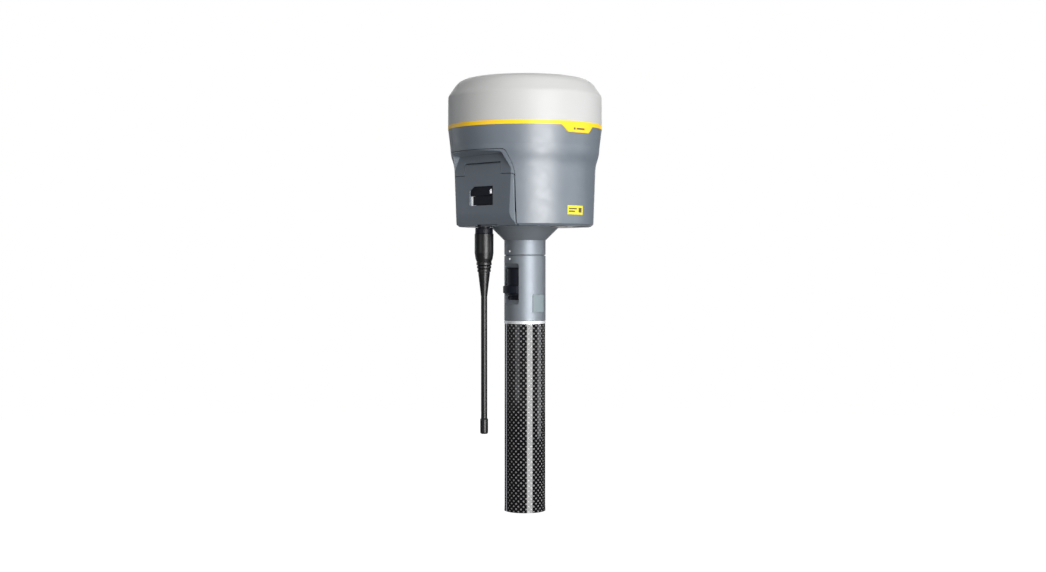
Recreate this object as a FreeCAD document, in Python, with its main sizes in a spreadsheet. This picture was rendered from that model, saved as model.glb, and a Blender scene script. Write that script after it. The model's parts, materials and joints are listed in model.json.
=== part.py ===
"""GNSS surveying receiver on the top section of its carbon-fibre pole, in millimetres.

+Z runs up the pole and the origin is at the middle of the pole section's bottom end. The battery door
faces -Y, the keypad faces +Y, and the trim ring has a tab on +X and on -X.
"""
import FreeCAD, Part
import math
import os

import Sketcher
from FreeCAD import Placement, Rotation, Vector

DIMENSIONS = [
    ("pole_radius", 16.0, "pole, adapter and neck collar, outside"),
    ("pole_wall", 2.0, "carbon tube wall"),
    ("pole_top", 145.0, "top of the carbon tube"),
    ("ring_top", 147.3, "top of the bright ring"),
    ("thread_radius", 6.8, "5/8-11 pole thread, modelled as a plain bore"),
    ("thread_depth", 24.0, "length of the pole thread"),
    ("seam_z", 198.0, "seam where the receiver leaves the adapter"),
    ("collar_top", 209.2, "top of the straight neck collar"),
    ("base_z", 219.7, "underside of the housing"),
    ("cone_radius", 26.6, "neck cone where it meets the underside"),
    ("low_radius", 53.1, "housing side wall at the bottom"),
    ("waist_radius", 54.4, "housing side wall below the flare"),
    ("waist_z", 261.0, "bottom of the flare"),
    ("flare_radius", 57.6, "housing at the top of the flare"),
    ("flare_z", 280.0, "top of the flare"),
    ("band_radius", 59.5, "outside of the trim ring"),
    ("band_low", 294.1, "bottom of the trim ring"),
    ("band_top", 297.2, "top of the trim ring"),
    ("tab_drop", 5.2, "trim tab below the ring"),
    ("tab_low_half", 10.6, "half width of the trim tab at its bottom"),
    ("tab_top_half", 16.2, "half width of the trim tab at the ring"),
    ("shell_wall", 2.5, "wall of the housing and the radome"),
    ("shoulder_z", 319.6, "bottom of the radome's bevel"),
    ("rim_radius", 50.5, "top of the radome's bevel"),
    ("rim_z", 332.5, "top of the radome's bevel"),
    ("apex_z", 334.9, "highest point of the radome"),
    ("door_plane", 44.0, "flat of the battery door, from the pole's axis"),
    ("door_thick", 3.0, "door plate"),
    ("door_half", 33.2, "half width of the door"),
    ("split_z", 258.1, "split between the door and its surround"),
    ("surround_top", 276.4, "top of the door surround"),
    ("surround_top_half", 30.6, "half width of the surround at its top"),
    ("tab_half", 20.0, "half width of the door's hinge tab"),
    ("tab_top", 267.0, "top of the hinge tab"),
    ("hinge_y", 41.5, "hinge axis behind the door's face, from the pole's axis"),
    ("hinge_z", 263.0, "hinge axis height"),
    ("pin_radius", 1.0, "hinge pin"),
    ("window_left", 14.4, "left edge of the latch window, from the middle"),
    ("window_right", 11.7, "right edge of the latch window, from the middle"),
    ("window_low", 235.2, "bottom of the latch window"),
    ("window_mid", 242.4, "top of the latch's own half of the window"),
    ("window_top", 249.6, "top of the latch window"),
    ("slot_half", 7.9, "half width of the release slider's slot"),
    ("slot_low", 160.0, "bottom of the slot"),
    ("slot_top", 191.4, "top of the slot"),
    ("antenna_x", -13.5, "antenna axis"),
    ("antenna_y", -30.3, "antenna axis"),
    ("groove", 1.1, "groove round the door"),
    ("gap", 0.3, "gap between moving pieces"),
]

doc = FreeCAD.newDocument("gnss_receiver")
sheet = doc.addObject("Spreadsheet::Sheet", "Dimensions")


class Size:
    """A length together with the spreadsheet expression that gives it."""

    def __init__(self, value, text):
        self.value = value
        self.text = text

    def __add__(self, other):
        other = size(other)
        return Size(self.value + other.value, "(%s + %s)" % (self.text, other.text))

    def __radd__(self, other):
        return size(other) + self

    def __sub__(self, other):
        other = size(other)
        return Size(self.value - other.value, "(%s - %s)" % (self.text, other.text))

    def __rsub__(self, other):
        return size(other) - self

    def __mul__(self, factor):
        return Size(self.value * factor, "(%s * %s)" % (self.text, factor))

    __rmul__ = __mul__

    def __neg__(self):
        return Size(-self.value, "(-%s)" % self.text)


def size(number):
    return number if isinstance(number, Size) else Size(float(number), "(%s)" % float(number))


class Names:
    """The driving dimensions by name."""


d = Names()
for row, (alias, value, meaning) in enumerate(DIMENSIONS, start=1):
    sheet.set("A%d" % row, alias)
    sheet.set("B%d" % row, str(value))
    sheet.set("C%d" % row, meaning)
    sheet.setAlias("B%d" % row, alias)
    setattr(d, alias, Size(value, "Dimensions." + alias))
doc.recompute()

parts = []


def keep(item, label):
    """Mark an object as a sub-part and give it the name of its file."""
    item.Label = label
    parts.append(item)
    return item


def bind(item, prop, length):
    item.setExpression(prop, size(length).text)


def place(item, x, y, z, rotation=None):
    item.Placement = Placement(Vector(size(x).value, size(y).value, size(z).value), rotation or Rotation())
    for letter, length in zip("xyz", (x, y, z)):
        bind(item, "Placement.Base." + letter, length)
    return item


def block(name, low, high):
    """Box between two corners."""
    item = doc.addObject("Part::Box", name)
    for prop, start, end in zip(("Length", "Width", "Height"), low, high):
        setattr(item, prop, (size(end) - start).value)
        bind(item, prop, size(end) - start)
    return place(item, *low)


ALONG = {
    "z": Rotation(),
    "-z": Rotation(Vector(1, 0, 0), 180),
    "x": Rotation(Vector(0, 1, 0), 90),
    "-x": Rotation(Vector(0, 1, 0), -90),
    "y": Rotation(Vector(1, 0, 0), -90),
    "-y": Rotation(Vector(1, 0, 0), 90),
}


def rod(name, radius, length, start, way="z"):
    item = doc.addObject("Part::Cylinder", name)
    item.Radius = size(radius).value
    item.Height = size(length).value
    bind(item, "Radius", radius)
    bind(item, "Height", length)
    return place(item, *start, rotation=ALONG[way])


def fuse(name, *items):
    item = doc.addObject("Part::MultiFuse", name)
    item.Shapes = list(items)
    item.Refine = True
    return item


def cut(name, base, *tools):
    item = doc.addObject("Part::Cut", name)
    item.Base = base
    item.Tool = tools[0] if len(tools) == 1 else fuse(name + "_tools", *tools)
    item.Refine = True
    return item


def common(name, first, second):
    item = doc.addObject("Part::MultiCommon", name)
    item.Shapes = [first, second]
    item.Refine = True
    return item


def group(name, items):
    item = doc.addObject("Part::Compound", name)
    item.Links = list(items)
    return item


def arc_centre(start, end, radius):
    """Centre of the arc from start to end; a positive radius keeps it left of the way there."""
    half = (end - start) * 0.5
    side = Vector(-half.y, half.x, 0).normalize()
    return start + half + side * math.copysign(math.sqrt(radius ** 2 - half.Length ** 2), radius)


def outline(body, plane, points):
    """Closed sketch. A point is (u, v), or (u, v, radius) where an arc leaves it for the next point."""
    sketch = body.newObject("Sketcher::SketchObject", body.Name + "_outline")
    roles = {feature.Role: feature for feature in body.Origin.OriginFeatures}
    sketch.AttachmentSupport = [(roles[plane], "")]
    sketch.MapMode = "FlatFace"
    corners = [Vector(size(point[0]).value, size(point[1]).value, 0) for point in points]
    reversed_arcs = []
    for index, point in enumerate(points):
        start, end = corners[index], corners[(index + 1) % len(points)]
        if len(point) == 3:
            centre = arc_centre(start, end, point[2])
            circle = Part.Circle(centre, Vector(0, 0, 1), abs(point[2]))
            ends = [circle.parameter(start), circle.parameter(end)]
            if point[2] < 0:
                ends.reverse()
            reversed_arcs.append(point[2] < 0)
            sketch.addGeometry(Part.ArcOfCircle(circle, *ends))
            sketch.addConstraint(Sketcher.Constraint("Radius", index, abs(point[2])))
        else:
            reversed_arcs.append(False)
            sketch.addGeometry(Part.LineSegment(start, end))
    for index, point in enumerate(points):
        before = index - 1 if index else len(points) - 1
        first = 2 if reversed_arcs[index] else 1
        last = 1 if reversed_arcs[before] else 2
        sketch.addConstraint(Sketcher.Constraint("Coincident", before, last, index, first))
        for kind, length in zip(("DistanceX", "DistanceY"), point):
            number = sketch.addConstraint(
                Sketcher.Constraint(kind, -1, 1, index, first, size(length).value))
            sketch.setExpression("Constraints[%d]" % number, size(length).text)
    return sketch


def turned(name, points):
    """Body turned about Z from its half section of (radius, height) points."""
    body = doc.addObject("PartDesign::Body", name)
    sketch = outline(body, "XZ_Plane", points)
    feature = body.newObject("PartDesign::Revolution", name + "_turn")
    feature.Profile = sketch
    feature.ReferenceAxis = (sketch, ["V_Axis"])
    feature.Angle = 360.0
    body.Tip = feature
    return body


def padded(name, plane, points, length, midplane=True):
    """Body padded from an outline, to both sides of its plane."""
    body = doc.addObject("PartDesign::Body", name)
    sketch = outline(body, plane, points)
    feature = body.newObject("PartDesign::Pad", name + "_pad")
    feature.Profile = sketch
    feature.Length = size(length).value
    feature.Midplane = midplane
    bind(feature, "Length", length)
    body.Tip = feature
    return body


def rounded(name, base, radius, wanted):
    """Fillet of the edges whose middle passes the test."""
    doc.recompute()
    edges = []
    for index, edge in enumerate(base.Shape.Edges, start=1):
        middle = edge.valueAt((edge.FirstParameter + edge.LastParameter) / 2)
        if wanted(middle, edge):
            edges.append((index, radius, radius))
    item = doc.addObject("Part::Fillet", name)
    item.Base = base
    item.Edges = edges
    return item


def ring(name, outer, inner, low, high):
    return turned(name, [(inner, low), (outer, low), (outer, high), (inner, high)])


def around(count, radius, first_angle):
    """Places on a circle as (x, y) in millimetres."""
    angles = [math.radians(first_angle + 360.0 * turn / count) for turn in range(count)]
    return [(radius * math.cos(angle), radius * math.sin(angle)) for angle in angles]


def screw(name, x, y, head_z, head, shank, way):
    """Cap screw: head and shank are (radius, length); the shank leaves the head along way."""
    step = 1 if way == "z" else -1
    back = ALONG["-z" if way == "z" else "z"]
    head_rod = rod(name + "_head", head[0], head[1], (x, y, head_z), way)
    head_rod.Placement.Rotation = back
    socket = rod(name + "_socket", head[0] * 0.5, head[1] * 0.6, (x, y, size(head_z) - step * head[1]), way)
    shank_rod = rod(name + "_shank", shank[0], shank[1], (x, y, head_z), way)
    return cut(name, fuse(name + "_solid", head_rod, shank_rod), socket)


# ---------------------------------------------------------------- pole and quick-release adapter
bore = d.pole_radius - d.pole_wall
keep(ring("pole_tube_body", d.pole_radius, bore, 0, d.pole_top), "pole_tube")
keep(ring("pole_foot_body", bore, d.thread_radius, 0, d.thread_depth), "pole_foot_insert")
keep(ring("pole_ring_body", d.pole_radius, 9.0, d.pole_top, d.ring_top), "pole_ring")
keep(turned("pole_plug_body", [
    (0, d.pole_top - 25), (bore, d.pole_top - 25), (bore, d.pole_top), (9.0, d.pole_top),
    (9.0, d.ring_top), (8.0, d.ring_top), (8.0, d.ring_top + 6), (0, d.ring_top + 6)]), "pole_top_plug")

inner = 12.6
SEAM_CHAMFER = 0.3
SEAM_GROOVE = 0.6
SEAM_LIP = 15.0
adapter_tube = turned("adapter_tube", [
    (8.05, d.ring_top), (d.pole_radius - 0.4, d.ring_top), (d.pole_radius, d.ring_top + 0.4),
    (d.pole_radius, d.seam_z - SEAM_GROOVE - SEAM_CHAMFER),
    (d.pole_radius - SEAM_CHAMFER, d.seam_z - SEAM_GROOVE), (SEAM_LIP, d.seam_z - SEAM_GROOVE),
    (SEAM_LIP, d.seam_z - 0.05), (inner, d.seam_z - 0.05), (inner, d.ring_top + 6), (8.05, d.ring_top + 6)])
ramp = 3.3
ramp_start = -13.9
ramp_deep = -12.6
slot_pad = padded("slot_pad", "YZ_Plane", [
    (-d.pole_radius - 4, d.slot_low), (ramp_start, d.slot_low), (ramp_deep, d.slot_low + ramp),
    (-8, d.slot_low + ramp), (-8, d.slot_top - ramp), (ramp_deep, d.slot_top - ramp),
    (ramp_start, d.slot_top), (-d.pole_radius - 4, d.slot_top)], d.slot_half * 2)
slot_tool = rounded("slot_tool", slot_pad, 1.3, lambda middle, edge: abs(middle.x) > 7 and middle.y < -14
                    and abs(edge.tangentAt(edge.FirstParameter).y) > 0.99)
plate_z = 153.5
PLATE_HALF = 5.9
PLATE_GAP = 0.3
label_ring = ring("label_ring", d.pole_radius + 0.15, d.pole_radius - 0.5, plate_z + PLATE_GAP,
                  plate_z + 14.3 - PLATE_GAP)
label_wedge = block("label_wedge", (8, PLATE_GAP - PLATE_HALF, 150), (20, PLATE_HALF - PLATE_GAP, 170))
label_seat_ring = ring("label_seat_ring", d.pole_radius + 1, d.pole_radius - 0.5, plate_z, plate_z + 14.3)
label_seat = common("label_seat", label_seat_ring,
                    block("seat_wedge", (8, -PLATE_HALF, 150), (20, PLATE_HALF, 170)))
DOT_RADIUS = 0.75
dot_y = -(d.pole_radius - 1.1)
dot_low = rod("dot_low", DOT_RADIUS, 1.2, (0, dot_y, d.seam_z - 3.1), "-y")
dot_high = rod("dot_high", DOT_RADIUS, 1.2, (0, dot_y, d.seam_z + 2.7), "-y")
keep(cut("adapter_body_cut", adapter_tube, slot_tool, label_seat, dot_low), "adapter_body")
keep(common("adapter_label_common", label_ring, label_wedge), "adapter_label")
dot_skin = ring("dot_skin", d.pole_radius + 0.05, 10, d.seam_z - 5, d.seam_z + 5)
keep(common("dot_low_common", dot_low, dot_skin), "adapter_dot")
keep(common("dot_high_common", dot_high, dot_skin), "collar_dot")

spigot_radius = 11.9
pin_z = 204.0
spigot_blank = turned("spigot_blank", [
    (8.0, d.seam_z - 8), (inner, d.seam_z - 8), (inner, d.seam_z - SEAM_GROOVE),
    (spigot_radius, d.seam_z - SEAM_GROOVE),
    (spigot_radius, d.seam_z + 15), (spigot_radius - 1, d.seam_z + 16), (8.0, d.seam_z + 16)])
pin_bores = rod("pin_bores", 2.06, 30, (-15, 0, pin_z), "x")
keep(cut("spigot_cut", spigot_blank, pin_bores), "adapter_spigot")

# The release slider shows in the slot; its plunger runs up the adapter and draws the lock pins in.
slider_ring = turned("slider_ring", [
    (9.3, d.slot_low), (12.3, d.slot_low), (12.3, d.slot_low + 6.7), (14.6, d.slot_low + 6.7),
    (14.9, d.slot_low + 7.0), (14.9, d.slot_top - 4.2), (14.6, d.slot_top - 3.9), (12.3, d.slot_top - 3.9),
    (12.3, 189.6), (9.3, 189.6)])
slider_half = d.slot_half - d.gap
slider_band = block("slider_band", (-slider_half, -20, 150), (slider_half, -6, 200))
slider_plate = common("slider_plate", slider_ring, slider_band)
knob_ring = ring("knob_ring", 17.7, 13.5, 168.5, 174.2)
knob_soft = rounded("knob_soft", knob_ring, 0.7, lambda middle, edge: math.hypot(middle.x, middle.y) > 17)
knob_band = block("knob_band", (-slider_half, -20, 160), (slider_half, -6, 180))
knob = common("knob", knob_soft, knob_band)
CAM_SLOPE = 0.6
arm = block("plunger_arm", (-4, -9.3, 168), (4, -5, 184))
plunger = turned("plunger_turn", [
    (0, 166), (7.6, 166), (7.6, 199.0), (7.0, 199.6), (7.0 - CAM_SLOPE * 10, 209.6), (0, 209.6)])
keep(fuse("plunger_fuse", plunger, arm), "release_plunger")
keep(cut("slider_cut", fuse("slider_solid", slider_plate, knob), arm), "release_slider")

COIL_RADIUS = 5.6
WIRE_RADIUS = 0.6
SPRING_LOW = 153.3
SPRING_HIGH = 166.0
spring_path = Part.makeHelix(2.3, SPRING_HIGH - SPRING_LOW - 2 * WIRE_RADIUS, COIL_RADIUS)
wire_circle = Part.Wire(Part.makeCircle(WIRE_RADIUS, Vector(COIL_RADIUS, 0, 0), Vector(0, 1, 0.065)))
spring = doc.addObject("Part::Feature", "spring_sweep")
spring.Shape = Part.Wire(spring_path).makePipeShell([wire_circle], True, True)
spring.Placement = Placement(Vector(0, 0, SPRING_LOW + WIRE_RADIUS), Rotation())
keep(spring, "release_spring")

cam = turned("cam_room", [(0, 199.6), (7.14, 199.6), (7.14 - CAM_SLOPE * 10, 209.6), (0, 209.6)])
for side, label in ((1, "lock_pin_right"), (-1, "lock_pin_left")):
    stem = rod(label + "_stem", 2.0, 13.7, (0, 0, pin_z), "x" if side > 0 else "-x")
    keep(cut(label + "_cut", stem, cam), label)

# ---------------------------------------------------------------- housing, neck and underside
FLARE_ARC = 29.0
middle_radius = (d.waist_radius + d.flare_radius) * 0.5
middle_z = (d.waist_z + d.flare_z) * 0.5
skin = [(d.cone_radius - 8, d.base_z), (d.low_radius - 2.2, d.base_z), (d.low_radius - 0.2, d.base_z + 1.6),
        (d.low_radius, d.base_z + 4), (d.waist_radius, d.waist_z, -FLARE_ARC),
        (middle_radius, middle_z, FLARE_ARC), (d.flare_radius, d.flare_z), (d.band_radius - 0.2, d.band_low)]
wall = d.shell_wall
room = [(d.band_radius - 0.2 - wall, d.band_low), (d.flare_radius - wall, d.flare_z + 0.5),
        (d.waist_radius - wall, d.waist_z + 2), (d.low_radius - wall, d.base_z + 3),
        (d.cone_radius - 8, d.base_z + 3)]
cup = turned("housing_cup", skin + room)
solid_skin = turned("housing_solid", [(0, d.base_z)] + skin + [(0, d.band_low)])


PRISM_FRONT = 70.0
PRISM_BACK = 36.5
PRISM_LOW = 210.0
LEAN_Z = 259.3


def surround_block(name, inset):
    """Prism of the door surround's outline, which leans in towards its top and has round corners."""
    half = d.door_half + d.groove - inset
    top_half = d.surround_top_half - inset
    top = d.surround_top - inset
    points = [(-half, PRISM_LOW), (half, PRISM_LOW), (half, LEAN_Z), (top_half, top), (-top_half, top),
              (-half, LEAN_Z)]
    body = padded(name + "_pad", "XZ_Plane", points, PRISM_FRONT - PRISM_BACK, midplane=False)
    place(body, 0, -PRISM_BACK, 0)
    corner_z = (d.surround_top - inset).value - 0.5
    return rounded(name, body, 3.6, lambda middle, edge: middle.z > corner_z
                   and abs(middle.x) > 20 and abs(edge.tangentAt(edge.FirstParameter).y) > 0.9)


door_hole = surround_block("door_hole", 0)


def tab_wedge(name, grow):
    low = d.band_low - d.tab_drop - grow
    points = [(-(d.tab_low_half + grow), low), (d.tab_low_half + grow, low),
              (d.tab_top_half + grow, d.band_low), (d.tab_top_half + grow, d.band_low + 1),
              (-(d.tab_top_half + grow), d.band_low + 1), (-(d.tab_top_half + grow), d.band_low)]
    return padded(name, "YZ_Plane", points, 140)


tab_seat_ring = ring("tab_seat_ring", 62, d.band_radius - 1.9, d.band_low - d.tab_drop - 1, d.band_low + 1)
tab_seat = common("tab_seat", tab_seat_ring, tab_wedge("tab_seat_wedge", 0.05))
PORTS = [(39.0, -1.0), (32.5, 28.5)]
port_holes = [rod("port_hole_%d" % i, 7.2, 6, (x, y, d.base_z - 1)) for i, (x, y) in enumerate(PORTS)]
socket_hole = rod("socket_hole", 7.0, 6, (d.antenna_x, d.antenna_y, d.base_z - 1))
vent_hole = rod("vent_hole", 3.0, 6, (-36, 18, d.base_z - 1))
CASE_SCREWS = [(40, -22), (22, 41.5), (-27, 38.5), (-45, -8)]
screw_holes = []
for index, (x, y) in enumerate(CASE_SCREWS):
    screw_holes.append(rod("screw_hole_%d" % index, 1.6, 9, (x, y, d.base_z - 1)))
    screw_holes.append(rod("screw_sink_%d" % index, 3.3, 2.6, (x, y, d.base_z - 1)))
keypad_hole = block("keypad_hole", (-21.3, 40, 233.2), (21.3, 62, 256.8))
label_y, label_z = 2.2, 231.4
label_block = block("label_block", (48, label_y - 8.35, label_z - 3.4), (60, label_y + 8.35, label_z + 3.4))
neck_holes = [rod("neck_hole_%d" % i, 1.5, 8, (x, y, d.base_z + 0.8))
              for i, (x, y) in enumerate(around(4, 25, 45))]
keep(cut("housing_cut", cup, door_hole, tab_seat, socket_hole, vent_hole, keypad_hole,
         *(port_holes + screw_holes + neck_holes)), "housing_shell")

label_skin = turned("label_skin", [
    (50, d.base_z + 4), (d.low_radius + 0.15, d.base_z + 4), (d.waist_radius + 0.15, d.waist_z),
    (50, d.waist_z)])
label_cut = cut("label_cut", common("label_common", label_skin, label_block), solid_skin)
keep(label_cut, "model_label")

neck_blank = turned("neck_turn", [
    (12.0, d.seam_z), (d.pole_radius - SEAM_CHAMFER, d.seam_z), (d.pole_radius, d.seam_z + SEAM_CHAMFER),
    (d.pole_radius, d.collar_top), (24.6, 217.7), (d.cone_radius, d.base_z), (d.cone_radius - 8, d.base_z),
    (d.cone_radius - 8, d.base_z + 3), (30, d.base_z + 3), (30, d.base_z + 6), (0, d.base_z + 6),
    (0, d.base_z - 5), (12.0, d.base_z - 5), (12.0, pin_z + 2.2), (14.3, pin_z + 2.2),
    (14.3, pin_z - 2.2), (12.0, pin_z - 2.2)])
socket_room = rod("socket_room", 7.6, 8, (d.antenna_x, d.antenna_y, d.base_z + 2.9))
keep(cut("neck_cut", neck_blank, dot_high, socket_room, socket_hole, *neck_holes), "neck_cone")
neck_screws = [screw("neck_screw_%d" % i, x, y, d.base_z + 6, (2.7, 1.8), (1.5, 5.2), "-z")
               for i, (x, y) in enumerate(around(4, 25, 45))]
keep(group("neck_screw_group", neck_screws), "neck_screws")
case_screws = [screw("case_screw_%d" % i, x, y, d.base_z + 1.6, (2.9, 1.5), (1.5, 14), "z")
               for i, (x, y) in enumerate(CASE_SCREWS)]
keep(group("case_screw_group", case_screws), "case_screws")
keep(rod("vent_rod", 2.9, 3.4, (-36, 18, d.base_z - 0.4)), "pressure_vent")

# ---------------------------------------------------------------- battery door and its surround
face = -d.door_plane
back = face + d.door_thick
CURL = 4.4
CURL_RADIUS = 14.73
slab = padded("door_slab", "YZ_Plane", [
    (face, d.split_z - 0.15), (face, d.base_z + 10.7, CURL_RADIUS), (face + CURL, d.base_z + 0.2),
    (face + CURL + 1.3, d.base_z + 0.2), (back, d.base_z + 10.7), (back, d.split_z - 1.7)], d.door_half * 2)
door_plate = common("door_plate", slab, solid_skin)
tab_block = block("tab_block", (-d.tab_half, face, d.split_z - 2.1), (d.tab_half, face + 5.1, d.tab_top))
tab = rounded("tab_round", tab_block, 1.5, lambda middle, edge: middle.z > d.tab_top.value - 0.1
              and abs(edge.tangentAt(edge.FirstParameter).x) > 0.9)
pin_bore = rod("pin_bore", d.pin_radius + 0.05, 60, (-30, -d.hinge_y, d.hinge_z), "x")
window = padded("window", "XZ_Plane", [
    (-d.window_left, d.window_low), (d.window_right, d.window_low), (d.window_right, d.window_top),
    (-d.window_left + 5, d.window_top), (-d.window_left, d.window_top - 3)], 120)
notch = padded("notch", "XZ_Plane", [
    (-8, 215), (11, 215), (12.5, 220.9), (-12, 220.9)], 120)
notch_front = common("notch_front", notch, block("notch_block", (-20, -60, 210), (20, -36, 230)))
window_front = common("window_front", window, block("window_block", (-20, -60, 230), (20, -39.5, 252)))
keep(cut("door_cut", fuse("door_solid", door_plate, tab), pin_bore, window_front, notch_front),
     "battery_door")

hole_fill = surround_block("surround_fill", 0.45)
surround_solid = common("surround_solid", hole_fill, solid_skin)


def lofted(name, near, near_y, far, far_y):
    """Body lofted between two outlines on planes parallel to XZ."""
    body = doc.addObject("PartDesign::Body", name)
    sketches = []
    for points, y in ((near, near_y), (far, far_y)):
        sketch = outline(body, "XZ_Plane", points)
        sketch.AttachmentOffset = Placement(Vector(0, 0, -size(y).value), Rotation())
        bind(sketch, "AttachmentOffset.Base.z", -size(y))
        sketches.append(sketch)
    feature = body.newObject("PartDesign::AdditiveLoft", name + "_loft")
    feature.Profile = sketches[0]
    feature.Sections = [sketches[1]]
    feature.Ruled = True
    body.Tip = feature
    return body


def front_outline(half, lean_z, top_half, top):
    return [(-half, 205), (half, 205), (half, lean_z), (top_half, top), (-top_half, top), (-half, lean_z)]


front_loft = lofted("front_loft",
                    front_outline(d.door_half - 1.2, 262, d.surround_top_half - 4.6, d.surround_top - 3.3),
                    face,
                    front_outline(d.door_half + 2.2, 262, d.surround_top_half - 0.3, d.surround_top - 0.2),
                    face - 16)
front = rounded("front_round", front_loft, 3.0, lambda middle, edge: middle.z > d.surround_top.value - 3
                and abs(middle.x) > 20 and abs(edge.tangentAt(edge.FirstParameter).y) > 0.7)
hollow = block("surround_hollow", (-45, face + 4, 200), (45, -30, d.surround_top - 2.2))
door_room = padded("door_room", "YZ_Plane", [
    (-75, d.split_z + 0.3), (face, d.split_z + 0.3), (-30, d.split_z - 6.7), (-30, 200), (-75, 200)], 90)
tab_room = block("tab_room", (-d.tab_half - d.gap, -60, 250), (d.tab_half + d.gap, -30, d.tab_top + 0.4))
ears = [block("ear_%d" % side, (20.4 * side - (3.6 if side < 0 else 0), face, 259.0),
              (20.4 * side + (3.6 if side > 0 else 0), face + 6, 267)) for side in (-1, 1)]
pin_seat = rod("pin_seat", d.pin_radius, 47, (-23.5, -d.hinge_y, d.hinge_z), "x")
surround_shell = cut("surround_shell", surround_solid, front, hollow, door_room, tab_room)
keep(cut("surround_cut", fuse("surround_ears", surround_shell, *ears), pin_seat), "door_surround")
keep(rod("hinge_rod", d.pin_radius, 47, (-23.5, -d.hinge_y, d.hinge_z), "x"), "hinge_pin")


def frame_ring(name, half, low, high, width, near, far):
    """Flat rectangular ring that faces -Y."""
    outer = block(name + "_outer", (-half, near, low), (half, far, high))
    opening = block(name + "_inner", (-half + width, near - 1, size(low) + width),
                    (half - width, far + 1, size(high) - width))
    return cut(name, outer, opening)


keep(frame_ring("gasket_ring", 29, 231.5, 254.5, 2.4, back, back + 1.0), "door_gasket")

latch_back = block("latch_back", (-16, back, 234.1), (16, back + 1.3, 251.9))
latch_slot = block("latch_slot", (-6.3, back - 1, 236.7), (2.6, back + 3, 240.6))
upper_panel = common("upper_panel", window, block("upper_block", (-20, face + 0.7, d.window_mid + 0.15),
                                                  (20, back, d.window_top + 1)))
upper_fit = common("upper_fit", upper_panel, block("upper_fit_block", (-d.window_left + 0.01, -60, 240),
                                                   (d.window_right - 0.01, -30, d.window_top - 0.01)))
keep(cut("latch_plate_cut", fuse("latch_plate_solid", latch_back, upper_fit), latch_slot), "latch_plate")
latch_face = rounded("latch_face", block("latch_block", (-11.2, face + 0.5, d.window_low + 0.3),
                                         (d.window_right - 0.3, face + 1.3, d.window_mid - 0.2)), 0.4,
                     lambda middle, edge: middle.y < face.value + 0.6)
latch_stem = block("latch_stem", (-2, face + 1.3, 237.2), (2, back + 2.2, 240.1))
keep(fuse("latch_fuse", latch_face, latch_stem), "door_latch")
bolt_blank = block("latch_bolt_block", (-5, back + 1.9, 236.2), (15, back + 3.2, 241.2))
keep(cut("latch_bolt_cut", bolt_blank, latch_stem), "latch_bolt")
keep(block("flag_block", (-d.window_left + 0.1, face + 1.6, d.window_low + 0.1),
           (-10.2, back, d.window_mid - 0.1)), "latch_flag")
MARK_X = 9.0
MARK_HALF = 1.0
MARK_MIDDLE = 246.2
mark_y = face + 0.55
mark_bow = cut("mark_bow", rod("mark_bow_out", 0.95, 0.15, (MARK_X, mark_y, MARK_MIDDLE), "y"),
               rod("mark_bow_in", 0.5, 1, (MARK_X, mark_y - 0.3, MARK_MIDDLE), "y"))
mark_case = block("mark_block", (MARK_X - MARK_HALF, mark_y, MARK_MIDDLE - 2.3),
                  (MARK_X + MARK_HALF, mark_y + 0.15, MARK_MIDDLE - 0.2))
keep(fuse("mark_fuse", mark_case, mark_bow), "lock_mark")

# ---------------------------------------------------------------- inside the housing
bay_low, bay_high = 229.0, 256.5
bay_outer = block("bay_outer", (-24, back + 3.6, bay_low), (24, 37, bay_high))
bay_flange = block("bay_flange", (-31, back + 1.3, bay_low), (31, back + 3.6, bay_high - 1.5))
bay_room = block("bay_room", (-20.5, -60, bay_low + 2.8), (20.5, 35, bay_high - 3))
feet = [block("bay_foot_%d" % i, (x - 2.5, y - 2.5, d.base_z + 3), (x + 2.5, y + 2.5, bay_low))
        for i, (x, y) in enumerate([(-24, -32), (24, -32), (21, 34), (-21, 34)])]
keep(cut("bay_cut", fuse("bay_solid", bay_outer, bay_flange, *feet), bay_room), "battery_bay")
battery_block = block("battery_block", (-19.8, -35.9, 232.3), (19.8, 33.6, 252.9))
keep(rounded("battery_round", battery_block, 2.0,
             lambda middle, edge: abs(edge.tangentAt(edge.FirstParameter).y) > 0.9), "battery")
keep(group("contact_group", [block("contact_%d" % i, (x, 33.6, 240), (x + 2.4, 35, 246))
                             for i, x in enumerate((-10.2, -4.2, 1.8, 7.8))]), "battery_contacts")


def deck(name, radius, low, high, front_y):
    """Round board or plate with a flat front, which leaves room for the battery door's hinge."""
    disc = rod(name + "_disc", radius, size(high) - low, (0, 0, low))
    return cut(name, disc, block(name + "_front", (-70, -70, size(low) - 1), (70, front_y, size(high) + 1)))


legs = []
for index, (x, y) in enumerate(CASE_SCREWS):
    leg = rod("leg_%d" % index, 3.0, 37, (x, y, d.base_z + 3))
    leg_hole = rod("leg_hole_%d" % index, 1.5, 13, (x, y, d.base_z + 2.7))
    legs.append(cut("leg_cut_%d" % index, leg, leg_hole))
post_places = around(4, 38, 45)
posts = [rod("post_%d" % i, 3.0, 6, (x, max(y, -30), 260.5)) for i, (x, y) in enumerate(post_places)]
keep(fuse("chassis_fuse", deck("chassis_deck", 49.5, 258.7, 261, -35), *(legs + posts)), "chassis")
board_holes = [rod("board_hole_%d" % i, 1.3, 4, (x, max(y, -30), 265)) for i, (x, y) in
               enumerate(post_places)]
keep(cut("main_board_cut", deck("main_board_deck", 47, 266.5, 268.1, -35), *board_holes), "main_board")
keep(group("board_screw_group", [screw("board_screw_%d" % i, x, max(y, -30), 268.1, (2.4, 1.6), (1.2, 1.6),
                                       "-z") for i, (x, y) in enumerate(post_places)]), "board_screws")
keep(rounded("can_round", block("can_block", (-24, -18, 268.1), (22, 16, 273.6)), 1.2,
             lambda middle, edge: middle.z > 273), "shield_can")
keep(rod("radio_disc", 47, 1.6, (0, 0, 278.5)), "radio_board")
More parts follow.
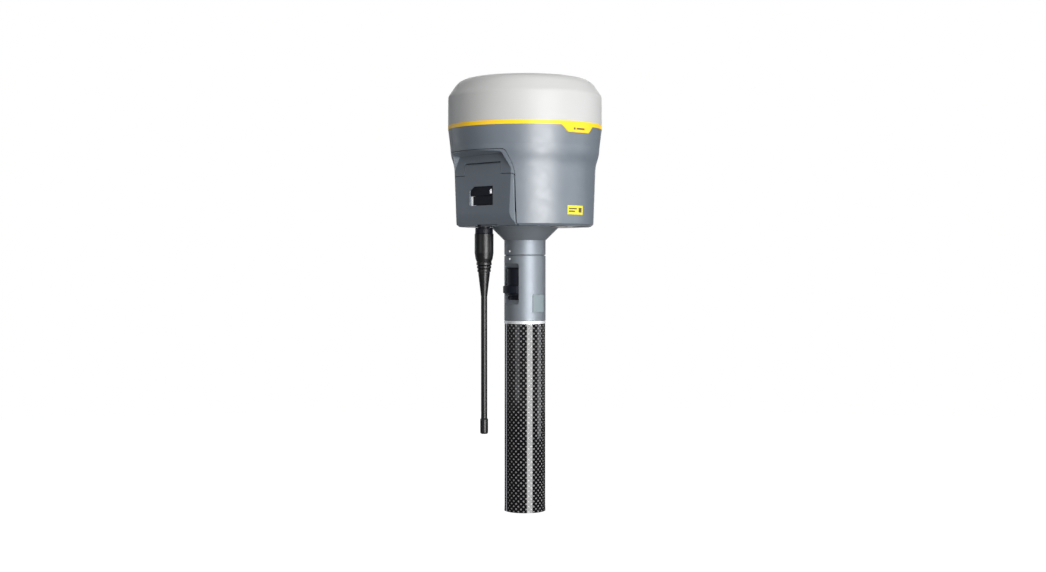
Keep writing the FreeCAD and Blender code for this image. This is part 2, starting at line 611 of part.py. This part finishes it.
keep(rod("ground_disc", 54.5, 2.0, (0, 0, 290.5)), "ground_plate")
keep(turned("patch_turn", [(0, 292.5), (42, 292.5), (42, 299.5), (40, 301.5), (25, 301.5), (25, 307.5),
                           (23.5, 309), (0, 309)]), "antenna_element")

panel_block = block("panel_block", (-21, 45, 233.5), (21, 62, 256.5))
panel_core = rod("panel_core", 50.6, 40, (0, 0, 225))
panel_blank = cut("panel_blank", common("panel_common", panel_block, solid_skin), panel_core)
button_x, button_z = -11.5, 245.0
button_radius = 5.6
led_radius = 1.6
led_places = (1.5, 8.0, 14.5)
button_hole = rod("button_hole", button_radius + 0.4, 20, (button_x, 43, button_z), "y")
led_holes = [rod("led_hole_%d" % i, led_radius, 20, (x, 43, button_z), "y") for i, x in enumerate(led_places)]
keep(cut("panel_cut", panel_blank, button_hole, *led_holes), "keypad_panel")
keep(block("keypad_board_block", (-17.5, 44.1, 235), (17.5, 45.5, 255)), "keypad_board")
lens_skin = turned("lens_skin", [(48.5, 226), (d.low_radius + 0.25, 226), (d.waist_radius + 0.25, d.waist_z),
                                 (48.5, d.waist_z)])
lens_rods = [rod("lens_rod_%d" % i, led_radius, 20, (x, 43, button_z), "y") for i, x in enumerate(led_places)]
keep(common("lens_common", group("lens_group", lens_rods), lens_skin), "status_lenses")
button_rod = rod("button_rod", button_radius, 6.0, (button_x, 47.8, button_z), "y")
keep(rounded("button_round", button_rod, 0.8, lambda middle, edge: middle.y > 53), "power_button")

# ---------------------------------------------------------------- trim ring and radome
trim_band = ring("trim_band", d.band_radius, 53.5, d.band_low, d.band_top)
trim_tab_ring = ring("trim_tab_ring", d.band_radius, d.band_radius - 1.8, d.band_low - d.tab_drop,
                     d.band_low + 0.5)
trim_tabs = common("trim_tabs", trim_tab_ring, tab_wedge("trim_wedge", 0))
keep(fuse("trim_fuse", trim_band, trim_tabs), "trim_ring")
dome_radius = 532.0
dome = turned("dome_turn", [
    (d.band_radius - 0.2 - wall, d.band_top), (d.band_radius - 0.1, d.band_top),
    (d.band_radius - 0.2, d.shoulder_z), (d.rim_radius, d.rim_z, dome_radius), (0, d.apex_z),
    (0, d.apex_z - wall), (d.rim_radius - 1.6, d.rim_z - wall),
    (d.band_radius - 0.2 - wall, d.shoulder_z - 0.9)])


def at_rim(from_rim, from_top):
    """Test for the closed edge of that radius and height, both measured from the radome's rim."""
    return lambda middle, edge: (edge.Closed and abs(middle.z - (d.rim_z.value - from_top)) < 0.1
                                 and abs(abs(edge.Curve.Radius) - (d.rim_radius.value - from_rim)) < 0.1)


shoulder_round = rounded("shoulder_round", dome, 5.0, lambda middle, edge: edge.Closed
                         and abs(middle.z - d.shoulder_z.value) < 0.1)
rim_round = rounded("rim_round", shoulder_round, 14.0, at_rim(0, 0))
keep(rounded("dome_round", rim_round, 12.0, at_rim(1.6, d.shell_wall.value)), "radome")
keep(ring("gasket_turn", d.band_radius - 2.8, 54.2, d.band_top, d.band_top + 2.4), "radome_gasket")

# ---------------------------------------------------------------- whip antenna, its socket and the ports


def at_antenna(body):
    return place(body, d.antenna_x, d.antenna_y, 0)


keep(at_antenna(turned("socket_turn", [
    (0, 209), (4.4, 209), (4.6, 209.4), (4.6, 219.2), (6.9, 219.2), (6.9, 222.7), (7.4, 222.7), (7.4, 226),
    (0, 226)])), "antenna_socket")
keep(at_antenna(turned("nut_turn", [
    (4.7, 208.4), (5.6, 208.4), (5.6, 214.4), (6.8, 214.4), (6.8, 218.2), (6.4, 218.6), (4.7, 218.6)])),
    "antenna_nut")
keep(at_antenna(turned("sleeve_turn", [
    (1.6, 166.5), (2.5, 166.5), (3.3, 173.5), (4.5, 183.6), (4.5, 184.6), (5.2, 185.2), (5.2, 186.8),
    (4.6, 187.2), (5.5, 187.7), (5.5, 189.3), (4.9, 189.7), (5.9, 190.2), (5.9, 192.0), (5.6, 192.5),
    (6.6, 195.0), (7.28, 199.4), (7.28, 214.0), (6.9, 214.4), (5.6, 214.4), (5.6, 208.4), (1.6, 208.4)])),
    "antenna_sleeve")
keep(at_antenna(turned("whip_turn", [
    (0, 66), (2.2, 66), (2.4, 72), (2.4, 166.5), (1.6, 166.5), (1.6, 204), (0, 204)])), "antenna_rod")
keep(at_antenna(turned("tip_turn", [
    (0, 60.5), (1.9, 60.5, 1.3), (3.05, 61.8), (3.05, 71.6), (2.5, 72.6), (2.4, 72.6), (2.4, 72), (2.2, 66),
    (0, 66)])), "antenna_tip")
for number, (x, y) in enumerate(PORTS, start=1):
    shell = turned("port_turn_%d" % number, [
        (5.0, 221.0), (7.1, 221.0), (7.1, 226.0), (6.0, 226.0), (6.0, 238.0), (0, 238.0), (0, 224.2),
        (5.0, 224.2)])
    keep(place(shell, x, y, 0), "port_connector_%d" % number)
    cap = turned("cap_turn_%d" % number, [
        (0, 219.2), (6.3, 219.2), (6.8, 219.7), (6.8, 220.7), (4.8, 220.7), (4.8, 223.6), (0, 223.6)])
    keep(place(cap, x, y, 0), "port_cap_%d" % number)

doc.recompute()
for item in doc.Objects:
    if "Invalid" in item.State or "Error" in item.State:
        raise RuntimeError("%s failed: %s" % (item.Name, item.State))
for item in parts:
    if item.Shape.isNull() or not item.Shape.isValid():
        raise RuntimeError("%s has no valid shape" % item.Label)
os.makedirs("parts", exist_ok=True)
for item in parts:
    item.Shape.exportStep("parts/%s.step" % item.Label)
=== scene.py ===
"""Looks of a GNSS receiver on the top section of its pole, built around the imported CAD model."""
import json
import math

import bmesh
import bpy
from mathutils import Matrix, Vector


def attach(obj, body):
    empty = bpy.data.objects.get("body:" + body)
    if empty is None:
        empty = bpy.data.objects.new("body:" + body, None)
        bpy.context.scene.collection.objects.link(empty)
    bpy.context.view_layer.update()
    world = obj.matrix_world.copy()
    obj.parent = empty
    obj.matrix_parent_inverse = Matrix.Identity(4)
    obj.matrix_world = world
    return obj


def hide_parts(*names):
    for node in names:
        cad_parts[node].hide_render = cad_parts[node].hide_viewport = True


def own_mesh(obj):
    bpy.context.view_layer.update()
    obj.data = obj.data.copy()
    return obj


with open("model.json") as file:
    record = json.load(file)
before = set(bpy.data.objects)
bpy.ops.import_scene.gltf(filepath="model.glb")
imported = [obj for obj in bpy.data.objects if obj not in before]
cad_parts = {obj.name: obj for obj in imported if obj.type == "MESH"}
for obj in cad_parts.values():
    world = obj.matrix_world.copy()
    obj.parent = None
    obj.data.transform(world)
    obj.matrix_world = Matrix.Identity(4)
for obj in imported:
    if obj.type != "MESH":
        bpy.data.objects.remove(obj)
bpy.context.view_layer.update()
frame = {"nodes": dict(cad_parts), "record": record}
nodes = frame["nodes"]
MM = 0.001
WHITE = (1, 1, 1, 1)
scene = bpy.context.scene


def direction(azimuth, elevation=0.0):
    """Unit vector from the object towards a place round it: azimuth 0 is -Y and 90 is +X."""
    a, e = math.radians(azimuth), math.radians(elevation)
    return Vector((math.sin(a) * math.cos(e), -math.cos(a) * math.cos(e), math.sin(e)))


# ---------------------------------------------------------------- camera
CAMERA_AZIMUTH = 47.0
CAMERA_DISTANCE = 1.150
CAMERA_HEIGHT = 0.1902
CAMERA_PITCH = math.radians(-0.81)
AIM_LEFT = 0.0015
LENS_MM = 51.07
SENSOR_MM = 36.0


def add_camera():
    """Level camera on one side of the object, tipped by its pitch only."""
    data = bpy.data.cameras.new("camera")
    data.lens = LENS_MM
    data.sensor_width = SENSOR_MM
    camera = bpy.data.objects.new("camera", data)
    scene.collection.objects.link(camera)
    out = direction(CAMERA_AZIMUTH)
    right = Vector((-out.y, out.x, 0))
    camera.location = out * CAMERA_DISTANCE - right * AIM_LEFT + Vector((0, 0, CAMERA_HEIGHT))
    look = -out + Vector((0, 0, math.tan(CAMERA_PITCH)))
    camera.rotation_euler = look.to_track_quat("-Z", "Y").to_euler()
    scene.camera = camera


add_camera()

# ---------------------------------------------------------------- studio
HEAD_CENTRE = Vector((0, 0, 0.24))
FLOOR_LEVEL = -1.3
FLOOR_RADIUS = 14
FLOOR_SIDES = 96
WORLD_STRENGTH = 0.17
NEUTRAL = (1, 1, 1)
# Name, azimuth past the camera's, elevation, distance, width, height, power and colour.
SOFTBOXES = (
    ("key", 27, 0, 2.2, 1.25, 2.4, 81, NEUTRAL),
    ("right_fill", 88, 14, 2.4, 1.2, 2.2, 15, (0.93, 0.97, 1.0)),
    ("left_fill", -42, 14, 2.4, 1.2, 2.0, 6.5, (0.93, 0.96, 1.0)),
    ("left_rim", -128, 5, 2.4, 0.35, 2.0, 5, (0.85, 0.92, 1.0)),
    ("back_fill", 180, 10, 2.4, 1.6, 2.2, 24, NEUTRAL),
    ("top", 0, 86, 2.4, 2.0, 2.0, 21, NEUTRAL),
)


def softbox(name, azimuth, elevation, distance, width, height, power, colour):
    """Rectangular light that faces the middle of the receiver."""
    data = bpy.data.lights.new(name, "AREA")
    data.shape = "RECTANGLE"
    data.size, data.size_y = width, height
    data.energy = power
    data.color = colour
    light = bpy.data.objects.new(name, data)
    scene.collection.objects.link(light)
    light.location = HEAD_CENTRE + direction(azimuth, elevation) * distance
    light.rotation_euler = (HEAD_CENTRE - light.location).to_track_quat("-Z", "Y").to_euler()


def add_world():
    """Dim white light from all round, behind a background that shows plain white."""
    world = bpy.data.worlds.new("studio")
    world.use_nodes = True
    scene.world = world
    tree = world.node_tree
    background = tree.nodes["Background"]
    background.inputs["Color"].default_value = WHITE
    background.inputs["Strength"].default_value = WORLD_STRENGTH
    seen = tree.nodes.new("ShaderNodeBackground")
    seen.inputs["Color"].default_value = WHITE
    path = tree.nodes.new("ShaderNodeLightPath")
    mix = tree.nodes.new("ShaderNodeMixShader")
    tree.links.new(path.outputs["Is Camera Ray"], mix.inputs["Fac"])
    tree.links.new(background.outputs["Background"], mix.inputs[1])
    tree.links.new(seen.outputs["Background"], mix.inputs[2])
    tree.links.new(mix.outputs["Shader"], tree.nodes["World Output"].inputs["Surface"])


def add_floor():
    bpy.ops.mesh.primitive_circle_add(vertices=FLOOR_SIDES, radius=FLOOR_RADIUS, fill_type="NGON",
                                      location=(0, 0, FLOOR_LEVEL))
    disc = bpy.context.object
    disc.name = "floor"
    return disc


for box_name, turn, *rest_of_box in SOFTBOXES:
    softbox(box_name, CAMERA_AZIMUTH + turn, *rest_of_box)
add_world()
floor = add_floor()
scene.view_settings.view_transform = "Standard"


# ---------------------------------------------------------------- materials
NOISE_LOW, NOISE_HIGH = 0.3, 0.7    # nearly all of a noise texture's values lie between these
# Noise scales are per metre, and depths are heights of relief.
MOTTLE_SCALE, GLOSS_SCALE, SPARK_SCALE = 38.0, 160.0, 900.0
RUBBER_MOTTLE_SCALE, RUBBER_GLOSS_SCALE = 60.0, 420.0
TURNED_GRAIN = (60.0, 60.0, 2600.0)
EVEN_GRAIN = (400.0, 400.0, 400.0)
SPARK_DEPTH, FINE_DEPTH, CROWN_DEPTH = 0.06 * MM, 0.02 * MM, 0.1 * MM
SPARK_BUMP, LINE_BUMP, RUBBER_BUMP, CROWN_BUMP = 0.35, 0.25, 0.12, 0.25


class Shader:
    """A material's node tree with short calls for the nodes that these materials use."""

    def __init__(self, name, colour, roughness, metallic=0.0, **sockets):
        self.material = bpy.data.materials.new(name)
        self.material.use_nodes = True
        self.tree = self.material.node_tree
        self.surface = self.tree.nodes["Principled BSDF"]
        self.set("Base Color", (*colour, 1.0))
        self.set("Roughness", roughness)
        self.set("Metallic", metallic)
        for socket, value in sockets.items():
            self.set(socket.replace("_", " "), value)
        self.place = self.node("ShaderNodeTexCoord").outputs["Object"]

    def node(self, kind):
        return self.tree.nodes.new(kind)

    def set(self, socket, value):
        self.surface.inputs[socket].default_value = value

    def link(self, source, target):
        self.tree.links.new(source, target)

    def math(self, operation, *values):
        node = self.node("ShaderNodeMath")
        node.operation = operation
        for socket, value in zip(node.inputs, values):
            if isinstance(value, (int, float)):
                socket.default_value = value
            else:
                self.link(value, socket)
        return node.outputs[0]

    def noise(self, scale, detail=3.0, stretch=None):
        texture = self.node("ShaderNodeTexNoise")
        texture.inputs["Scale"].default_value = scale
        texture.inputs["Detail"].default_value = detail
        source = self.place
        if stretch:
            mapping = self.node("ShaderNodeMapping")
            mapping.inputs["Scale"].default_value = stretch
            self.link(source, mapping.inputs["Vector"])
            source = mapping.outputs["Vector"]
        self.link(source, texture.inputs["Vector"])
        return texture.outputs["Fac"]

    def ramp(self, value, stops):
        ramp = self.node("ShaderNodeValToRGB")
        elements = ramp.color_ramp.elements
        while len(elements) < len(stops):
            elements.new(0.5)    # its place is set just below
        for element, (position, colour) in zip(elements, stops):
            element.position = position
            element.color = (*colour, 1.0)
        self.link(value, ramp.inputs["Fac"])
        return ramp.outputs["Color"]

    def tint(self, value, low, high):
        """Base colour between two colours over the span of a noise texture."""
        colours = self.ramp(value, [(NOISE_LOW, low), (NOISE_HIGH, high)])
        self.link(colours, self.surface.inputs["Base Color"])

    def rough(self, value, low, high):
        """Roughness between two values over the span of a noise texture."""
        span = self.node("ShaderNodeMapRange")
        span.inputs["From Min"].default_value = NOISE_LOW
        span.inputs["From Max"].default_value = NOISE_HIGH
        span.inputs["To Min"].default_value = low
        span.inputs["To Max"].default_value = high
        self.link(value, span.inputs["Value"])
        self.link(span.outputs["Result"], self.surface.inputs["Roughness"])

    def bump(self, height, strength, distance):
        bump = self.node("ShaderNodeBump")
        bump.inputs["Strength"].default_value = strength
        bump.inputs["Distance"].default_value = distance
        self.link(height, bump.inputs["Height"])
        self.link(bump.outputs["Normal"], self.surface.inputs["Normal"])


def scaled(colour, factor):
    return tuple(min(1.0, channel * factor) for channel in colour)


def moulded(name, colour, roughness, spread=0.05, **sockets):
    """Moulded plastic: spark texture, slight mottling and uneven gloss."""
    shader = Shader(name, colour, roughness, **sockets)
    mottle = shader.noise(MOTTLE_SCALE, 4.0)
    shader.tint(mottle, scaled(colour, 1 - spread), scaled(colour, 1 + spread))
    shader.rough(shader.noise(GLOSS_SCALE, 2.0), roughness - 0.04, roughness + 0.05)
    shader.bump(shader.noise(SPARK_SCALE, 2.0), SPARK_BUMP, SPARK_DEPTH)
    return shader.material


def metal(name, colour, roughness, grain=TURNED_GRAIN, metallic=1.0):
    """Turned or brushed metal, with fine lines round the Z axis unless grain says otherwise."""
    shader = Shader(name, colour, roughness, metallic)
    lines = shader.noise(1.0, 3.0, grain)
    shader.tint(lines, scaled(colour, 0.94), scaled(colour, 1.06))
    shader.rough(shader.noise(1.0, 2.0, grain), roughness - 0.05, roughness + 0.06)
    shader.bump(lines, LINE_BUMP, FINE_DEPTH)
    return shader.material


def rubber(name, colour, roughness):
    """Dull rubber, mottled and a little uneven in gloss."""
    shader = Shader(name, colour, roughness)
    shader.tint(shader.noise(RUBBER_MOTTLE_SCALE, 4.0), scaled(colour, 0.8), scaled(colour, 1.35))
    shader.rough(shader.noise(RUBBER_GLOSS_SCALE, 2.0), roughness - 0.06, roughness + 0.06)
    shader.bump(shader.noise(SPARK_SCALE, 2.0), RUBBER_BUMP, FINE_DEPTH)
    return shader.material


TOW_SHARPNESS = 1.3                     # above 1, a tow's bright crown is narrower than the tow
FIBRE_GRAIN = (900.0, 900.0, 2500.0)
FIBRE_BASE = 0.7
UNEVEN_SCALE = 260.0
UNEVEN_GAIN, UNEVEN_BASE = 0.8, 0.35
GLINTS = [(0.12, (0.003, 0.003, 0.004)), (0.85, (0.25, 0.245, 0.24))]


def carbon_weave(name, radius, tow):
    """Plain weave under a clear coat, with a whole, even number of tows round the pole."""
    shader = Shader(name, (0.004, 0.004, 0.005), 0.5, 0.0, Specular_IOR_Level=0.0, Coat_Weight=1.0,
                    Coat_Roughness=0.035, Coat_IOR=1.6)
    cells_round = 2 * round(math.pi * radius / tow)
    split = shader.node("ShaderNodeSeparateXYZ")
    shader.link(shader.place, split.inputs["Vector"])
    angle = shader.math("ARCTAN2", split.outputs["Y"], split.outputs["X"])
    u = shader.math("MULTIPLY", angle, cells_round / (2 * math.pi))
    v = shader.math("MULTIPLY", split.outputs["Z"], cells_round / (2 * math.pi * radius))
    cells = [shader.math("FLOOR", value) for value in (u, v)]
    parity = shader.math("FLOORED_MODULO", shader.math("ADD", *cells), 2.0)
    arches = []
    for value in (u, v):
        part = shader.math("FRACT", value)
        arches.append(shader.math("SINE", shader.math("MULTIPLY", part, math.pi)))
    crown = shader.math("MULTIPLY", *arches)
    weft = shader.math("MULTIPLY", shader.math("POWER", crown, TOW_SHARPNESS), parity)
    fibres = shader.noise(1.0, 2.0, FIBRE_GRAIN)
    uneven = shader.math("MULTIPLY_ADD", shader.noise(UNEVEN_SCALE, 1.0), UNEVEN_GAIN, UNEVEN_BASE)
    streaks = shader.math("ADD", fibres, FIBRE_BASE)
    glint = shader.math("MULTIPLY", weft, shader.math("MULTIPLY", uneven, streaks))
    shader.link(shader.ramp(glint, GLINTS), shader.surface.inputs["Base Color"])
    shader.bump(crown, CROWN_BUMP, CROWN_DEPTH)
    return shader.material


def pale_floor(name):
    """Floor paint that shows nearly white and throws little light back up."""
    shader = Shader(name, (0.3, 0.3, 0.3), 0.9)
    shader.tint(shader.noise(0.6, 2.0), (0.29, 0.29, 0.29), (0.31, 0.31, 0.31))
    shine = shader.node("ShaderNodeEmission")
    shine.inputs["Color"].default_value = WHITE
    shader.link(shader.node("ShaderNodeLightPath").outputs["Is Camera Ray"], shine.inputs["Strength"])
    both = shader.node("ShaderNodeAddShader")
    shader.link(shader.surface.outputs["BSDF"], both.inputs[0])
    shader.link(shine.outputs["Emission"], both.inputs[1])
    shader.link(both.outputs["Shader"], shader.tree.nodes["Material Output"].inputs["Surface"])
    return shader.material


SHELL_BLUE = (0.108, 0.130, 0.158)
ALLOY_BLUE = (0.25, 0.275, 0.305)
POLE_RADIUS = 0.016
TOW_WIDTH = 0.002
MATERIALS = {
    "housing": moulded("housing_plastic", SHELL_BLUE, 0.46, Specular_IOR_Level=1.0, IOR=1.65),
    "radome": moulded("radome_plastic", (0.465, 0.465, 0.456), 0.5, spread=0.015),
    "yellow_trim": moulded("trim_plastic", (0.93, 0.56, 0.01), 0.42, spread=0.03),
    "yellow_label": moulded("label_film", (0.72, 0.62, 0.03), 0.4, spread=0.03),
    "grey_label": moulded("plate_film", (0.19, 0.235, 0.25), 0.5, spread=0.03),
    # White paint of the dots and marks with a painted glow: its emission brightens them beyond what the
    # lamps give.
    "white_paint": moulded("white_fill_painted_glow", (0.9, 0.9, 0.9), 0.5, spread=0.02, Emission_Color=WHITE,
                           Emission_Strength=0.3),
    "black_plastic": moulded("black_moulding", (0.005, 0.006, 0.012), 0.45, spread=0.15,
                             Specular_IOR_Level=0.3),
    "battery": moulded("battery_case", (0.05, 0.05, 0.055), 0.5),
    "ceramic": moulded("antenna_ceramic", (0.55, 0.50, 0.40), 0.6),
    "board": moulded("solder_mask", (0.01, 0.11, 0.04), 0.3),
    "lens": moulded("lens_plastic", (0.30, 0.55, 0.32), 0.15),
    "black_rubber": rubber("whip_rubber", (0.004, 0.004, 0.0045), 0.34),
    "gasket": rubber("seal_rubber", (0.03, 0.03, 0.03), 0.6),
    "carbon": carbon_weave("carbon_weave", POLE_RADIUS, TOW_WIDTH),
    "satin_alloy": metal("satin_alloy", ALLOY_BLUE, 0.56, metallic=0.8),
    "bright_metal": metal("bright_ring", (0.86, 0.87, 0.88), 0.48, metallic=0.7),
    # Near-black metal is painted shade: it darkens the seam gap at the adapter spigot and the recess round
    # the antenna socket.
    "dark_metal": metal("shade_painted_metal", (0.035, 0.036, 0.04), 0.42, metallic=0.6),
    "print": moulded("printed_mark", (0.10, 0.075, 0.03), 0.5),
    "plain_metal": metal("machined_metal", (0.55, 0.56, 0.57), 0.35),
    "tin": metal("tin_plate", (0.62, 0.63, 0.62), 0.3, EVEN_GRAIN),
    "brass": metal("gold_plate", (0.72, 0.52, 0.20), 0.28),
    "screw": metal("screw_steel", (0.4, 0.4, 0.41), 0.3),
}
floor.data.materials.append(pale_floor("floor_paint"))

SLOTS = {entry["node"]: entry["material_slot"] for entry in frame["record"]["subparts"]}
BODIES = {}
for body_name, members in frame["record"]["behaviour"]["bodies"].items():
    for member in members:
        BODIES[member] = body_name
# The spigot and the antenna socket take the near-black metal as painted shade for the seam gap and the
# recess on the underside.
LOOKS = dict(SLOTS, antenna_socket="dark_metal", adapter_spigot="dark_metal")
for node_name, node in nodes.items():
    node.data.materials.clear()
    node.data.materials.append(MATERIALS[LOOKS[node_name]])


# ---------------------------------------------------------------- pieces
MERGE = 0.002 * MM              # vertices closer than this are one
DEGENERATE = 0.0001 * MM
FLAT_DEGREES = 0.6              # faces that turn less than this are one
ROUNDED_DEGREES = 32.0          # edges that turn more than this are rounded
SOFT_SHADE_DEGREES = 40.0
COIL_SHADE_DEGREES = 50.0
EDGE_WIDTHS_MM = {"battery_door": 0.45, "door_surround": 0.35, "adapter_body": 0.25, "release_slider": 0.2,
                  "power_button": 0.2, "keypad_panel": 0.25}
PRINT_LIFT = 0.03 * MM
PRINT_STEPS = 8
PRINT_START = 0.1               # further out along +X than any printed face
TAB_BARS = [(-5.6, -4.0, 290.8, 292.4), (-2.9, 5.6, 290.9, 292.2)]
LABEL_BARS = [(-5.0, 3.4, 231.9, 232.9), (-5.0, 1.4, 229.9, 230.9), (5.4, 9.0, 229.7, 233.1)]


def new_piece(name, mesh_maker, material, body):
    """Piece whose mesh is filled by mesh_maker(bm)."""
    mesh = bpy.data.meshes.new(name)
    bm = bmesh.new()
    mesh_maker(bm)
    bm.to_mesh(mesh)
    bm.free()
    piece = bpy.data.objects.new(name, mesh)
    scene.collection.objects.link(piece)
    mesh.materials.append(material)
    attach(piece, body)
    return piece


def smooth_by_angle(mesh, degrees):
    """Smooth shading with sharp edges kept above an angle."""
    limit = math.radians(degrees)
    bm = bmesh.new()
    bm.from_mesh(mesh)
    for face in bm.faces:
        face.smooth = True
    for edge in bm.edges:
        edge.smooth = len(edge.link_faces) == 2 and edge.calc_face_angle(0.0) < limit
    bm.to_mesh(mesh)
    bm.free()


def softened(node, width):
    """Stands for a CAD node with its sharp edges rounded, in the node's own space."""
    def fill(bm):
        bm.from_mesh(nodes[node].data)
        bmesh.ops.remove_doubles(bm, verts=bm.verts, dist=MERGE)
        bmesh.ops.dissolve_limit(bm, angle_limit=math.radians(FLAT_DEGREES), verts=bm.verts, edges=bm.edges)
        sharp = [edge for edge in bm.edges if len(edge.link_faces) == 2
                 and edge.calc_face_angle(0.0) > math.radians(ROUNDED_DEGREES)]
        bmesh.ops.bevel(bm, geom=sharp, offset=width, offset_type="OFFSET", segments=2, profile=0.5,
                        affect="EDGES", clamp_overlap=True)
        bmesh.ops.dissolve_degenerate(bm, dist=DEGENERATE, edges=bm.edges)

    piece = new_piece(node + "_soft", fill, MATERIALS[SLOTS[node]], BODIES[node])
    smooth_by_angle(piece.data, SOFT_SHADE_DEGREES)
    harden = piece.modifiers.new("weighted", "WEIGHTED_NORMAL")
    harden.keep_sharp = True
    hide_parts(node)


def printed(name, node_name, bars):
    """Printed bars on the +X face of a CAD node: each is (y_low, y_high, z_low, z_high) in millimetres."""
    source = nodes[node_name]
    to_node = source.matrix_world.inverted()
    way = (to_node.to_3x3() @ Vector((-1, 0, 0))).normalized()
    depsgraph = bpy.context.evaluated_depsgraph_get()

    def on_surface(y, z):
        start = to_node @ Vector((PRINT_START, y * MM, z * MM))
        hit, point, normal, _ = source.ray_cast(start, way, depsgraph=depsgraph)
        if not hit:
            raise RuntimeError("%s misses %s at y %.2f, z %.2f" % (name, node_name, y, z))
        return source.matrix_world @ (point + normal * PRINT_LIFT)

    def fill(bm):
        for y_low, y_high, z_low, z_high in bars:
            edges = []
            for step in range(PRINT_STEPS + 1):
                y = y_low + (y_high - y_low) * step / PRINT_STEPS
                edges.append([bm.verts.new(on_surface(y, z)) for z in (z_low, z_high)])
            for left, right in zip(edges, edges[1:]):
                bm.faces.new((left[0], right[0], right[1], left[1]))

    new_piece(name, fill, MATERIALS["print"], BODIES[node_name])


for node_name, edge_width in EDGE_WIDTHS_MM.items():
    softened(node_name, edge_width * MM)

spring = new_piece("release_spring_coil", lambda bm: bm.from_mesh(nodes["release_spring"].data),
                   MATERIALS["plain_metal"], "receiver")
smooth_by_angle(spring.data, COIL_SHADE_DEGREES)
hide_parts("release_spring")
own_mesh(spring)

printed("trim_tab_mark", "trim_ring", TAB_BARS)
printed("label_bars", "model_label", LABEL_BARS)
